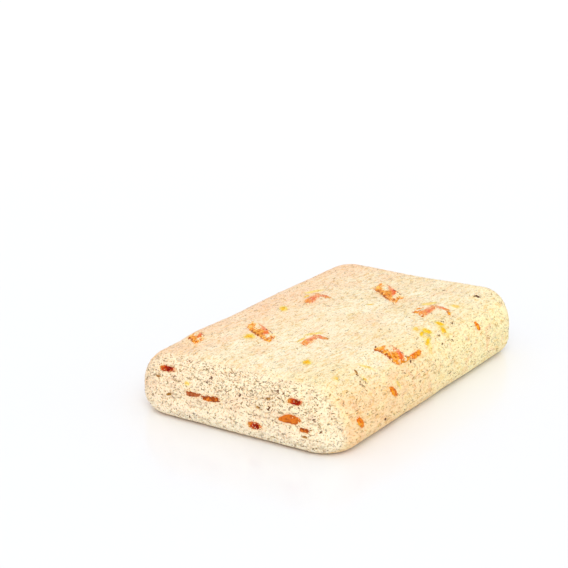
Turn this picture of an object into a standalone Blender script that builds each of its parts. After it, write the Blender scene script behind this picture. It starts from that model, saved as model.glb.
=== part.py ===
"""A bar of sunflower halva with pieces of dried apricot in it, lying on its flat underside.

Metres, +Z up. The origin is the middle of the underside. -X is the near end, where the bar was cut,
+X the far end, -Y the right-hand long side and +Y the left-hand one.
"""

import math
import random
from typing import NamedTuple

import bmesh
import bpy
from mathutils import Vector, noise

MM = 0.001

# Driving dimensions of the bar
LENGTH = 110.0 * MM
WIDTH = 69.0 * MM
HEIGHT = 19.6 * MM
TOP_SLOPE = 0.010  # the top rises towards +X
CORNER_RADIUS = {(1, 1): 12.5 * MM, (-1, 1): 12.3 * MM, (-1, -1): 10.6 * MM, (1, -1): 9.9 * MM}
TOP_EDGE_RADIUS_AT_END = {1: 8.1 * MM, -1: 8.7 * MM}
TOP_EDGE_RADIUS_AT_SIDE = 11.7 * MM
BOTTOM_EDGE_RADIUS = 5.2 * MM

# The cells of the surface, before it is bent round the edges
CELL = 2.5 * MM
ROW = 1.9 * MM

# Relief: height and wavelength of each kind
SWELL = (0.22 * MM, 15.0 * MM)
CRUMB = (0.22 * MM, 4.5 * MM)
CRAG = (1.1 * MM, 7.0 * MM, 3.8 * MM)  # on the cut ends: depth, length and thickness of a flake
CRAG_STARTS = 0.3  # crags begin where the surface faces this far along X, and are full where it is 1
SLUMPS = (  # where the top sinks, at its left and far edges: x, y, depth and reach
    (-44.5 * MM, 26.5 * MM, 0.9 * MM, 7.5 * MM),
    (-38.0 * MM, 31.5 * MM, 0.6 * MM, 4.5 * MM),
    (-17.0 * MM, 30.0 * MM, 0.45 * MM, 12.0 * MM),
    (52.0 * MM, 1.0 * MM, 0.4 * MM, 14.0 * MM),
)
SMOOTH_FOOT = 2.0 * MM  # the relief fades out over this height above the underside

# How the pieces sit in the bar
GAP = 0.35 * MM
DOME = 0.15 * MM  # a piece stands this proud
PIECE_DEPTH = 0.45  # of its width
LEAST_DEPTH = 1.0 * MM
RECESS = 0.7 * MM  # of the pieces in the underside, which stay clear of what it rests on
POCKET_REACH = 2.0 * MM  # a cutter reaches this far out of the surface
BIT_DOME = 0.2 * MM
BIT_DEPTH = 0.9 * MM

# The form of a piece: its outline, and rings from its crown down, each a share of its outline and
# of its dome (above the rim) or depth (below it)
LUMPINESS = 0.24
LUMPS = 1.7  # how many lumps there are round a piece
PIECE_RINGS = ((0.6, 1.0), (1.0, 0.0), (0.8, -1.0))
POCKET_RINGS = ((1.0, 1.0), (1.0, 0.0), (0.8, -1.0))
BIT_RINGS = ((0.7, 1.0), (1.0, -1.0))
PIECE_SIDES = 16
BIT_SIDES = 7


class Piece(NamedTuple):
    """A piece on a face of the bar, in millimetres and degrees, before the edges are rounded."""

    face: str
    along: float
    across: float
    length: float
    width: float
    turn: float
    skew: float = 0.0  # makes it a parallelogram: how far it leans along for each step up its width
    low: float = 1.0  # how far it reaches below its middle line, over how far it reaches above
    taper: float = 0.0  # how much narrower its far end is than its middle, as a share
    roundness: float = 0.45  # 1 gives a round outline, less gives one with corners


# Each piece that shows
SEEN_PIECES = [
    Piece("top", 27.4, -2.4, 18.0, 6.3, -127, skew=-0.92, roundness=0.35),
    Piece("top", 9.3, 14.0, 8.8, 2.2, 5, skew=0.8, taper=0.35),
    Piece("top", -24.3, 10.0, 15.6, 5.2, -120, skew=-0.86, roundness=0.35),
    Piece("top", -23.1, -5.8, 8.2, 2.1, 3, skew=0.8, taper=0.35),
    Piece("top", -16.1, -29.8, 11.3, 6.8, -85, skew=0.14, roundness=0.35),
    Piece("top", -8.1, -35.3, 6.6, 2.2, 3),
    Piece("top", 17.8, -21.2, 10.0, 2.4, 1, skew=0.8, taper=0.35),
    Piece("top", -37.8, 22.9, 7.4, 5.2, -124, skew=-0.9, roundness=0.35),
    Piece("right", 28.0, 15.2, 3.8, 1.9, -80, roundness=0.8),
    Piece("right", -25.6, 11.2, 4.5, 2.0, -54, roundness=0.8),
    Piece("right", -43.7, 8.4, 4.4, 1.9, -48, roundness=0.8),
    Piece("near", 21.3, 16.1, 5.6, 1.8, -2, roundness=0.7),
    Piece("near", 11.3, 10.1, 5.0, 1.2, -3, taper=-0.7, roundness=0.7),
    Piece("near", 5.4, 10.0, 5.9, 1.5, -5, roundness=0.8),
    Piece("near", -20.6, 15.2, 4.6, 1.7, -3, roundness=0.7),
    Piece("near", -19.0, 9.0, 6.1, 4.9, 2, skew=-0.85, low=0.1, roundness=0.9),
    Piece("near", -8.7, 5.4, 4.7, 1.8, 0, roundness=0.7),
    Piece("near", -24.2, 7.4, 2.9, 1.8, 3, low=0.2, roundness=0.9),
]
# The smaller bits that show, fused to the bar
SEEN_BITS = [
    Piece("top", -3.3, 16.3, 4.4, 2.1, 33),
    Piece("top", -29.8, 10.2, 3.8, 2.8, 33),
    Piece("top", -38.7, -14.6, 3.6, 2.1, 33),
    Piece("top", -43.5, -27.0, 1.9, 1.2, 33),
    Piece("top", 1.9, -25.8, 2.4, 1.5, 33),
    Piece("top", 4.2, -28.6, 3.5, 2.9, -57),
    Piece("top", 1.3, -28.5, 2.8, 1.3, 22),
    Piece("top", 11.5, -28.2, 2.2, 1.9, -60),
    Piece("top", 11.0, -32.0, 4.0, 2.3, -110),
    Piece("top", 0.1, -33.0, 3.4, 2.3, 30),
    Piece("top", 26.9, -25.7, 2.4, 1.7, -62),
    Piece("top", 15.5, 17.3, 5.2, 1.5, -25),
    Piece("top", -18.1, -3.7, 4.4, 1.5, -35),
    Piece("top", 24.0, -18.4, 4.8, 1.6, -31),
    Piece("top", -24.2, -3.4, 3.6, 0.9, 2),
    Piece("top", 14.8, -19.2, 3.4, 1.7, -25),
    Piece("top", 13.1, 12.0, 5.0, 1.8, 75),
    Piece("top", -19.5, -7.4, 4.2, 1.7, 83),
    Piece("top", 22.2, -23.7, 5.2, 1.8, 80),
    Piece("top", 20.6, -27.0, 2.6, 1.2, 40),
    Piece("top", -13.6, -34.6, 5.8, 3.0, -8),
    Piece("top", -35.2, -28.4, 2.3, 0.9, -118),
    Piece("top", 13.6, -3.8, 1.8, 1.0, -57),
    Piece("near", 23.7, 12.9, 1.8, 0.8, 0),
    Piece("near", 19.7, 8.3, 1.8, 0.9, -20),
    Piece("near", 13.6, 12.8, 1.5, 1.1, 0),
    Piece("near", -12.9, 14.3, 2.0, 0.8, -8),
    Piece("near", -10.0, 11.0, 1.8, 0.9, 20),
    Piece("near", -24.3, 5.8, 1.9, 0.8, -5),
]
# How many pieces and bits each hidden face has, spread along it by a seeded rule
HIDDEN_PIECES = {"far": 5, "left": 3, "under": 3}
HIDDEN_BITS = {"far": 5, "left": 3}
HIDDEN_SEED = 11
PIECE_LENGTHS = (4.5, 8.5)
BIT_LENGTHS = (2.0, 3.0)
FLATNESS = {"far": 0.35, "left": 0.7, "under": 0.6}  # width of a hidden piece over its length
SPREAD = 0.8  # share of a hidden face's length that has pieces
ALONG_SHARES = (0.3, 0.7)  # where a piece lies in its own share of that length
ACROSS_SHARES = (0.3, 0.75)  # where a piece lies across the face
LEAST_APART = 1.0  # between a bit and a piece, in millimetres
MOST_TURN = 15.0
MOST_SKEW = 0.5

HALVA_COLOUR = (0.93, 0.80, 0.62)
HALVA_ROUGHNESS = 0.75
APRICOT_COLOUR = (0.84, 0.33, 0.08)
APRICOT_ROUGHNESS = 0.35

# Each face: the axis that it faces along, its side on it, and the axes that places on it run along
FACES = {
    "top": (2, 1, 0, 1),
    "under": (2, -1, 0, 1),
    "near": (0, -1, 1, 2),
    "far": (0, 1, 1, 2),
    "right": (1, -1, 0, 2),
    "left": (1, 1, 0, 2),
}
BOX_LOW = Vector((-LENGTH / 2, -WIDTH / 2, 0.0))
BOX_HIGH = Vector((LENGTH / 2, WIDTH / 2, HEIGHT))
MIDDLE = Vector((0.0, 0.0, HEIGHT / 2))
FLAT = 0.0001 * MM  # what lies lower than this is part of the underside
SHORT_STEP = 0.2 * MM  # for finding the way out of a face


def clear_scene():
    for obj in list(bpy.data.objects):
        bpy.data.objects.remove(obj, do_unlink=True)


def new_collection(name, hidden=False):
    collection = bpy.data.collections.new(name)
    collection.hide_render = hidden
    bpy.context.scene.collection.children.link(collection)
    return collection


def new_material(name, colour, roughness):
    material = bpy.data.materials.new(name)
    material.use_nodes = True
    shader = material.node_tree.nodes["Principled BSDF"]
    shader.inputs["Base Color"].default_value = (*colour, 1.0)
    shader.inputs["Roughness"].default_value = roughness
    shader.inputs["Metallic"].default_value = 0.0
    return material


def new_object(name, shape, collection, material=None):
    """An object that takes the bmesh, with its faces pointing out and shaded smooth."""
    bmesh.ops.recalc_face_normals(shape, faces=shape.faces)
    if shape.calc_volume(signed=True) < 0:
        bmesh.ops.reverse_faces(shape, faces=shape.faces)
    mesh = bpy.data.meshes.new(name)
    shape.to_mesh(mesh)
    shape.free()
    mesh.shade_smooth()
    obj = bpy.data.objects.new(name, mesh)
    collection.objects.link(obj)
    if material:
        mesh.materials.append(material)
    return obj


def squared_to_round(a, b):
    """Bends the corner of a square at (a, b) > 0 into a quarter circle, ring by ring."""
    reach = max(a, b)
    away = math.hypot(a, b)
    return a / away * reach, b / away * reach


def rounded(point):
    """Takes a point of the plain box to its place on the bar, with the corners and edges rounded."""
    side_x = 1 if point.x >= 0 else -1
    side_y = 1 if point.y >= 0 else -1
    corner = CORNER_RADIUS[side_x, side_y]
    over_x = abs(point.x) - (LENGTH / 2 - corner)
    over_y = abs(point.y) - (WIDTH / 2 - corner)
    if over_x > 0 and over_y > 0:
        over_x, over_y = squared_to_round(over_x, over_y)
        inward = corner - math.hypot(over_x, over_y)
        out = Vector((side_x * over_x, side_y * over_y)).normalized()
    elif over_x > over_y:
        inward = corner - over_x
        out = Vector((side_x, 0.0))
    else:
        inward = corner - over_y
        out = Vector((0.0, side_y))
    x = side_x * (LENGTH / 2 - corner + over_x)
    y = side_y * (WIDTH / 2 - corner + over_y)
    top = HEIGHT + TOP_SLOPE * x
    z = point.z / HEIGHT * top
    top_radius = TOP_EDGE_RADIUS_AT_END[side_x] * out.x**2 + TOP_EDGE_RADIUS_AT_SIDE * out.y**2
    edges = ((top_radius, top - top_radius, 1), (BOTTOM_EDGE_RADIUS, BOTTOM_EDGE_RADIUS, -1))
    for radius, turn_height, up in edges:
        to_side = radius - inward
        to_top = up * (z - turn_height)
        if to_side > 0 and to_top > 0:
            to_side, to_top = squared_to_round(to_side, to_top)
            moved = radius - to_side - inward
            x -= out.x * moved
            y -= out.y * moved
            inward += moved
            z = turn_height + up * to_top
    return Vector((x, y, z))


def on_face(face, along, across):
    """The point of the bar at this place of a face. A place past the face's rim is on the next face."""
    axis, side, along_axis, across_axis = FACES[face]
    point = Vector((0.0, 0.0, 0.0))
    point[along_axis] = along
    point[across_axis] = across
    past = 0.0
    for other in (along_axis, across_axis):
        kept = min(max(point[other], BOX_LOW[other]), BOX_HIGH[other])
        past += abs(point[other] - kept)
        point[other] = kept
    point[axis] = BOX_HIGH[axis] - past if side > 0 else BOX_LOW[axis] + past
    return rounded(point)


def out_of_face(face, along, across):
    """The way straight out of the bar at this place of a face."""
    run = on_face(face, along + SHORT_STEP, across) - on_face(face, along - SHORT_STEP, across)
    rise = on_face(face, along, across + SHORT_STEP) - on_face(face, along, across - SHORT_STEP)
    out = run.cross(rise).normalized()
    return out if out.dot(on_face(face, along, across) - MIDDLE) > 0 else -out


def relief(point, out):
    """How far the surface stands out at a point, with flaky crags where the bar was cut."""
    height = SWELL[0] * noise.noise(point / SWELL[1]) + CRUMB[0] * noise.noise(point / CRUMB[1])
    cut = max(0.0, abs(out.x) - CRAG_STARTS) / (1.0 - CRAG_STARTS)
    flake = Vector((point.x / CRAG[1], point.y / CRAG[1], point.z / CRAG[2]))
    height -= CRAG[0] * cut * abs(noise.noise(flake))
    for x, y, depth, reach in SLUMPS:
        away = math.hypot(point.x - x, point.y - y)
        height -= depth * max(0.0, out.z) * math.exp(-((away / reach) ** 2))
    return height * min(1.0, point.z / SMOOTH_FOOT)


def outline(piece, grow, share, sides):
    """Places on the piece's face round its outline, or round a share of it."""
    own_place = Vector((piece.along, piece.across, piece.length))
    turn = math.radians(piece.turn)
    half_length = piece.length * MM / 2
    half_width = piece.width * MM / 2
    for number in range(sides):
        angle = math.tau * number / sides
        unit = Vector((math.cos(angle), math.sin(angle), 0.0))
        swell = 1.0 + LUMPINESS * noise.noise(unit * LUMPS + own_place)
        low = piece.low if unit.y < 0 else 1.0
        run = math.copysign(abs(unit.x) ** piece.roundness, unit.x)
        run *= (half_length * swell + grow * math.hypot(1.0, piece.skew)) * share
        width_here = half_width * (1.0 - piece.taper * run / half_length)
        rise = math.copysign(abs(unit.y) ** piece.roundness, unit.y)
        rise *= (width_here * swell * low + grow) * share
        run += piece.skew * rise
        yield (
            piece.along * MM + math.cos(turn) * run - math.sin(turn) * rise,
            piece.across * MM + math.sin(turn) * run + math.cos(turn) * rise,
        )


def lump(piece, rim, dome, depth, grow, rings, sides):
    """A lump laid on the bar's surface, widest at the height rim, as a bmesh, and its origin."""
    middle = on_face(piece.face, piece.along * MM, piece.across * MM)
    shape = bmesh.new()

    def add(place, level):
        height = rim + level * (dome if level > 0 else depth + grow)
        return shape.verts.new(on_face(piece.face, *place) + out_of_face(piece.face, *place) * height - middle)

    made = []
    for share, level in rings:
        made.append([add(place, level) for place in outline(piece, grow, share, sides)])
    for upper, lower in zip(made, made[1:]):
        for number in range(sides):
            after = (number + 1) % sides
            shape.faces.new((upper[number], lower[number], lower[after], upper[after]))
    for ring, level in ((made[0], rings[0][1]), (made[-1], rings[-1][1])):
        places = list(outline(piece, grow, 0.0, sides))
        tip = add(places[0], level)
        for number in range(sides):
            shape.faces.new((tip, ring[number], ring[(number + 1) % sides]))
    return shape, middle


def hidden_spots(counts, lengths, draw):
    """Pieces spread evenly along each hidden face, each shifted by a seeded draw."""
    spots = []
    for face, count in counts.items():
        _, _, along_axis, across_axis = FACES[face]
        run = (BOX_HIGH[along_axis] - BOX_LOW[along_axis]) / MM * SPREAD
        low, high = BOX_LOW[across_axis] / MM, BOX_HIGH[across_axis] / MM
        for number in range(count):
            along = run * ((number + draw.uniform(*ALONG_SHARES)) / count - 0.5)
            across = low + (high - low) * draw.uniform(*ACROSS_SHARES)
            length = draw.uniform(*lengths)
            turn = draw.uniform(-MOST_TURN, MOST_TURN)
            skew = draw.uniform(-MOST_SKEW, MOST_SKEW)
            spots.append(Piece(face, along, across, length, length * FLATNESS[face], turn, skew))
    return spots


def apart(one, other):
    """Whether two pieces lie clear of each other, whichever way they are turned."""
    away = on_face(one.face, one.along * MM, one.across * MM)
    away -= on_face(other.face, other.along * MM, other.across * MM)
    return away.length > ((one.length + other.length) / 2 + LEAST_APART) * MM


def make_bar(collection, material):
    """The block itself, from a box in cells, rounded and given its relief, flat underneath."""
    shape = bmesh.new()
    bmesh.ops.create_cube(shape, size=1.0)
    for vert in shape.verts:
        vert.co = Vector((vert.co.x * LENGTH, vert.co.y * WIDTH, (vert.co.z + 0.5) * HEIGHT))
    for axis, spacing in enumerate((CELL, CELL, ROW)):
        run = BOX_HIGH[axis] - BOX_LOW[axis]
        count = round(run / spacing)
        normal = Vector((axis == 0, axis == 1, axis == 2))
        for number in range(1, count):
            cut = BOX_LOW + normal * (run * number / count)
            everything = shape.verts[:] + shape.edges[:] + shape.faces[:]
            bmesh.ops.bisect_plane(shape, geom=everything, plane_co=cut, plane_no=normal)
    for vert in shape.verts:
        vert.co = rounded(vert.co)
    shape.normal_update()
    moves = [relief(vert.co, vert.normal) for vert in shape.verts]
    for vert, move in zip(shape.verts, moves):
        vert.co += vert.normal * move
    sole = {face for face in shape.faces if all(vert.co.z < FLAT for vert in face.verts)}
    inner_edges = [edge for edge in shape.edges if all(face in sole for face in edge.link_faces)]
    bmesh.ops.dissolve_edges(shape, edges=inner_edges, use_verts=True)
    return new_object("halva", shape, collection, material)


def fuse_bits(bar, bits):
    """Joins the small bits to the bar with one Boolean union, which is applied."""
    loose = new_collection("bits")
    for number, bit in enumerate(bits, start=1):
        shape, middle = lump(bit, 0.0, BIT_DOME, BIT_DEPTH, 0.0, BIT_RINGS, BIT_SIDES)
        new_object(f"bit_{number}", shape, loose).location = middle
    union = bar.modifiers.new("bits", "BOOLEAN")
    union.operation = "UNION"
    union.operand_type = "COLLECTION"
    union.collection = loose
    bpy.context.view_layer.update()
    graph = bpy.context.evaluated_depsgraph_get()
    joined = bpy.data.meshes.new_from_object(bar.evaluated_get(graph))
    bar.modifiers.clear()
    bar.data = joined
    for obj in list(loose.objects):
        bpy.data.objects.remove(obj, do_unlink=True)
    bpy.data.collections.remove(loose)


def set_in_pieces(bar, pieces, collection, material):
    """Makes each apricot piece and the pocket in the bar that holds it."""
    cutters = new_collection("pockets", hidden=True)
    numbers = dict.fromkeys(FACES, 0)
    for piece in pieces:
        numbers[piece.face] += 1
        ending = f"{piece.face}_{numbers[piece.face]}"
        rim = -RECESS if piece.face == "under" else 0.0
        depth = max(piece.width * PIECE_DEPTH * MM, LEAST_DEPTH)
        shape, middle = lump(piece, rim, DOME, depth, 0.0, PIECE_RINGS, PIECE_SIDES)
        obj = new_object(f"apricot_{ending}", shape, collection, material)
        obj.location = middle
        obj.parent = bar
        shape, middle = lump(piece, rim, POCKET_REACH, depth, GAP, POCKET_RINGS, PIECE_SIDES)
        cutter = new_object(f"pocket_{ending}", shape, cutters)
        cutter.location = middle
        cutter.hide_render = True
        cutter.display_type = "WIRE"
    pockets = bar.modifiers.new("pockets", "BOOLEAN")
    pockets.operation = "DIFFERENCE"
    pockets.operand_type = "COLLECTION"
    pockets.collection = cutters


def main():
    clear_scene()
    bar_collection = new_collection("halva_bar")
    draw = random.Random(HIDDEN_SEED)
    pieces = SEEN_PIECES + hidden_spots(HIDDEN_PIECES, PIECE_LENGTHS, draw)
    bits = list(SEEN_BITS)
    for bit in hidden_spots(HIDDEN_BITS, BIT_LENGTHS, draw):
        if all(apart(bit, piece) for piece in pieces):
            bits.append(bit)
    bar = make_bar(bar_collection, new_material("halva", HALVA_COLOUR, HALVA_ROUGHNESS))
    fuse_bits(bar, bits)
    apricot = new_material("apricot", APRICOT_COLOUR, APRICOT_ROUGHNESS)
    set_in_pieces(bar, pieces, bar_collection, apricot)


main()
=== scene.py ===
"""The looks of a bar of sunflower halva with pieces of dried apricot, on a plain pale floor.

Metres, +Z up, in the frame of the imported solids: -X is the near cut end, +X the far one, -Y the
right-hand long side, +Y the left-hand one, and the origin is the middle of the underside.
"""

import itertools
import math
import random

import bmesh
import bpy
import numpy as np
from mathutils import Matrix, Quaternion, Vector, geometry, noise
from mathutils.bvhtree import BVHTree


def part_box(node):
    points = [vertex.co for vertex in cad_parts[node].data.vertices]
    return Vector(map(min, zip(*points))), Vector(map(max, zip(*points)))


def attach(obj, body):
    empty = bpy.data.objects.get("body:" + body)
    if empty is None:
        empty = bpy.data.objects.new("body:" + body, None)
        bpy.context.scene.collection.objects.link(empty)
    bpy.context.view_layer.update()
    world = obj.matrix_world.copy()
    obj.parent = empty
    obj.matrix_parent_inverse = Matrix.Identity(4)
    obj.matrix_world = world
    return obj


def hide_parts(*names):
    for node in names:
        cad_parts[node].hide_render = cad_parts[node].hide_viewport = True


MM = 0.001

# The bar, as its solid is made
LENGTH = 110 * MM
WIDTH = 69 * MM
HEIGHT = 19.6 * MM
TOP_SLOPE = 0.01
CORNER_RADIUS = {(1, 1): 12.5 * MM, (-1, 1): 12.3 * MM, (-1, -1): 10.6 * MM, (1, -1): 9.9 * MM}
TOP_EDGE_RADIUS_AT_END = {1: 8.1 * MM, -1: 8.7 * MM}
TOP_EDGE_RADIUS_AT_SIDE = 11.7 * MM
BOTTOM_EDGE_RADIUS = 5.2 * MM
SWELL = (0.22 * MM, 15 * MM)
# Where the top has slumped: place along and across it, how deep and how far, in millimetres
SLUMPS = (
    (-44.5, 26.5, 0.9, 7.5),
    (-38, 31.5, 0.6, 4.5),
    (-17, 30, 0.45, 12),
    (52, 1, 0.4, 14),
)
SMOOTH_FOOT = 2 * MM

# The fine surface: the size of its cells along the bar, across it and up it
CELLS = (0.7 * MM, 0.3 * MM, 0.3 * MM)
SOLE_RINGS = 8
SOLE_RING_STEP = 0.72 * MM
SOLE_CELL = 3 * MM
SOLE_FINE_CELL = 0.6 * MM
SOLE_MARGIN = 2 * MM  # how far round a piece in the underside the fine cells go
WELD = 0.001 * MM  # points closer than this are one

# Relief on the top, the long sides and the cut ends: the first four in millimetres, and the others
# as shares of the depths below
RELIEF = {
    "fibres": (0.15, 0.08, 0),
    "crumb": (0.08, 0.12, 0.18),
    "flakes": (0, 0, 0.3),
    "pits": (0.03, 0.09, 0.2),
    "crevices": (0, 0, 1),
    "fine": (0.15, 0.35, 0.6),
    "cracks": (0.8, 0.5, 0),
}
CREVICE_DEPTH = 0.42
FINE_DEPTH = 0.22
CRACK_DEPTH = 0.12

SEED = 20
HASH_PRIMES = np.array((73856093, 19349663, 83492791, 2654435761, 2246822519), np.uint64)
HASH_SPAN = np.uint64(0xFFFFFFFF)
NOISE_START = 500  # keeps the cells' numbers above 0
NOISE_GAIN = 1.6

# Faces: the axis that each faces along, its side on it, and the axes that places on it run along
FACES = {
    "top": (2, 1, 0, 1),
    "near": (0, -1, 1, 2),
    "far": (0, 1, 1, 2),
    "right": (1, -1, 0, 2),
    "left": (1, 1, 0, 2),
}
BOX_LOW = Vector((-LENGTH / 2, -WIDTH / 2, 0))
BOX_HIGH = Vector((LENGTH / 2, WIDTH / 2, HEIGHT))
MIDDLE = Vector((0, 0, HEIGHT / 2))

# The pieces that show, by face: place along and across it, length and width in millimetres, turn in
# degrees, how far it leans along for each step up its width, how much it narrows, and kind
PIECES = {
    "top": (
        (27.4, -2.4, 18, 6.3, -127, -0.92, 0, "chunk"),
        (9.3, 14, 8.8, 2.2, 5, 0.8, 0.35, "streak"),
        (-24.3, 10, 15.6, 5.2, -120, -0.86, 0, "chunk"),
        (-23.1, -5.8, 8.2, 2.1, 3, 0.8, 0.35, "streak"),
        (-16.1, -29.8, 11.3, 6.8, -85, 0.14, 0, "chunk"),
        (-8.1, -35.3, 6.6, 2.2, 3, 0, 0, "orange"),
        (17.8, -21.2, 10, 2.4, 1, 0.8, 0.35, "streak"),
        (-37.8, 22.9, 7.4, 5.2, -124, -0.9, 0, "chunk"),
    ),
    "right": (
        (28, 15.2, 3.8, 1.9, -80, 0, 0, "orange"),
        (-25.6, 11.2, 4.5, 2, -54, 0, 0, "orange"),
        (-43.7, 8.4, 4.4, 1.9, -48, 0, 0, "orange"),
    ),
    "near": (
        (21.3, 16.1, 5.6, 1.8, -2, 0, 0, "dark"),
        (11.3, 10.1, 5, 1.2, -3, 0, -0.7, "dusky"),
        (5.4, 10, 5.9, 1.5, -5, 0, 0, "baked"),
        (-20.6, 15.2, 4.6, 1.7, -3, 0, 0, "dark"),
        (-19, 9, 6.1, 4.9, 2, -0.85, 0, "amber"),
        (-8.7, 5.4, 4.7, 1.8, 0, 0, 0, "dark"),
        (-24.2, 7.4, 2.9, 1.8, 3, 0, 0, "baked"),
    ),
}
# Those on the faces that don't show
HIDDEN_KINDS = {
    "far": ("amber", "dark", "dusky", "amber", "dark"),
    "left": ("orange", "amber", "orange"),
    "under": ("orange", "streak", "orange"),
}

# Small bits of apricot, by kind: face, place along and across it, length and width, and turn
BITS = {
    "yellow": (
        ("top", -3.3, 16.3, 4.4, 2.1, 33),
        ("top", -29.8, 10.2, 3.8, 2.8, 33),
        ("top", -38.7, -14.6, 3.6, 2.1, 33),
        ("top", 4.2, -28.6, 3.5, 2.9, -57),
        ("top", 1.3, -28.5, 2.8, 1.3, 22),
        ("top", 12.4, -28.8, 3.2, 1.9, -50),
        ("top", 11, -32, 4, 2.3, -110),
        ("top", 0.4, -32.8, 5, 2, 38),
    ),
    "tan": (
        ("top", -43.5, -27, 1.9, 1.2, 33),
        ("top", 1.9, -25.8, 2.4, 1.5, 33),
        ("top", 26.9, -25.7, 2.4, 1.7, -62),
        ("top", -24.2, -3.4, 3.6, 0.9, 2),
        ("top", 10.4, 16.8, 2.4, 0.8, 0),
        ("top", 13.6, -3.8, 1.8, 1, -57),
        ("top", -34.8, -32.7, 1.7, 1, -60),
        ("right", -22.4, 12.3, 2.2, 0.7, -75),
        ("near", 13.6, 12.8, 1.5, 1, 0),
    ),
    "wisp": (
        ("top", 15.5, 17.3, 5.2, 1.5, -25),
        ("top", -18.1, -3.7, 4.4, 1.5, -35),
        ("top", 24, -18.4, 4.8, 1.6, -31),
        ("top", -30, -28.7, 4, 0.8, -50),
    ),
    "orange": (
        ("top", 18.2, -18.3, 2.8, 0.8, -20),
        ("top", 14.8, -19.2, 3.4, 1.7, -25),
        ("top", 20.6, -27, 2.6, 1.2, 40),
        ("top", -13.6, -34.6, 5.8, 3, -8),
        ("top", -16.6, -34.7, 3.8, 1.7, -18),
    ),
    "streak": (
        ("top", 13.2, 12.5, 6.2, 1.9, 75),
        ("top", -19.4, -6.9, 5.4, 1.8, 83),
        ("top", 22.3, -23.1, 6.4, 1.9, 80),
    ),
    "brown": (
        ("top", -35.2, -28.4, 2.3, 0.9, -118),
        ("near", 23.7, 12.9, 1.8, 0.7, 0),
        ("near", 19.7, 8.3, 1.8, 0.8, -20),
        ("near", -12.9, 14.3, 2, 0.7, -8),
        ("near", -10, 11, 1.8, 0.8, 20),
        ("near", -24.3, 5.8, 1.9, 0.6, -5),
    ),
    "dusky": (("near", 8.6, 10.25, 2.2, 0.8, 22),),
}

STAINING_KINDS = ("yellow", "tan", "wisp")
STAIN_REACH = 6 * MM
STAIN_FADE = (0.7, 1.9)  # from and to which share of a bit's own size its stain fades

# How fruit sits in the halva
SEAT_REACH = 2.5 * MM
SEAT_MARGIN = 0.2 * MM  # how much wider than its fruit a seat is
SEAT_DEPTH = 0.28 * MM
# How far the shade painted in the seam round each piece of fruit reaches
SEAM_REACH = 0.45 * MM
CALM_REACH = 1.2 * MM  # how far round a seat the halva has less relief
CALM_SHARE = 0.7
# How high halva that has crept over fruit lies on it, and how uneven it is, in millimetres
SMEAR_HEIGHT = 0.1
SMEAR_LUMPS = 0.12
# By kind: how far it grows upwards and sideways, to make up for what smoothing takes off its rim, how
# far out halva starts to creep over it, and how square its outline is
SEATS = {
    "streak": (0.17 * MM, 0.36 * MM, 1.25, 4),
    "chunk": (0.06 * MM, 0.16 * MM, 1.02, 5),
    "else": (0.06 * MM, 0.16 * MM, 1.02, 2.6),
}
RIM_FADE = 0.12  # over how much further the halva closes
# Where halva lies over a chunk: place along and across it, and reach along and across it
CHUNK_SMEARS = (
    (-0.36, 0.24, 0.19, 0.4),
    (0.55, -0.06, 0.15, 0.36),
    (-0.8, 0.8, 0.2, 0.24),
    (0.7, 0.94, 0.28, 0.2),
)
BIT_DETAIL = 4
BIT_DOME = 0.12 * MM
BIT_DEPTH = 0.9 * MM
BIT_RAGGED = 0.16 * MM
BIT_SWELL = 1.05
BIT_WAVES = ((0.5, 1.5), (0.4, 4))  # how strong the waves in a bit's outline are, and how fine
BIT_LAYERS = ("along", "across", "rim")

# Slivers of husk
HUSK_COUNT = 2600
HUSK_DRIFT = ((0.4, 3.2 * MM), (0.6, 1.1 * MM))  # how strong the waves in their number are, how wide
HUSK_BAND = (9 * MM, 19 * MM)  # the heights between which they crowd on the cut ends
HUSK_BAND_FADE = (4 * MM, 3 * MM)
HUSK_TURN = {"end": 35, "else": 25}  # how far they turn off, in degrees
HUSK_LOWEST = 0.3 * MM
# The middle and reach of the part of the top that is cleanest
CLEAN_MIDDLE = (-20 * MM, -5 * MM)
CLEAN_REACH = (30 * MM, 26 * MM)
# How crowded they are on the cut ends, in the band there, on the long sides and all over
HUSK_CROWD = (0.2, 0.26, 0.16, 0.07)
SLIVER_LENGTHS = (0.3, 0.5, 0.7, 1, 1.4)  # in millimetres
SLIVER_WIDTHS = (0.12 * MM, 0.21 * MM)
SLIVER_CROWN = 0.04 * MM
SLIVER_ROOT = 0.1 * MM
SLIVER_BEND = 0.12
SLIVER_POINTS = 10
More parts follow.
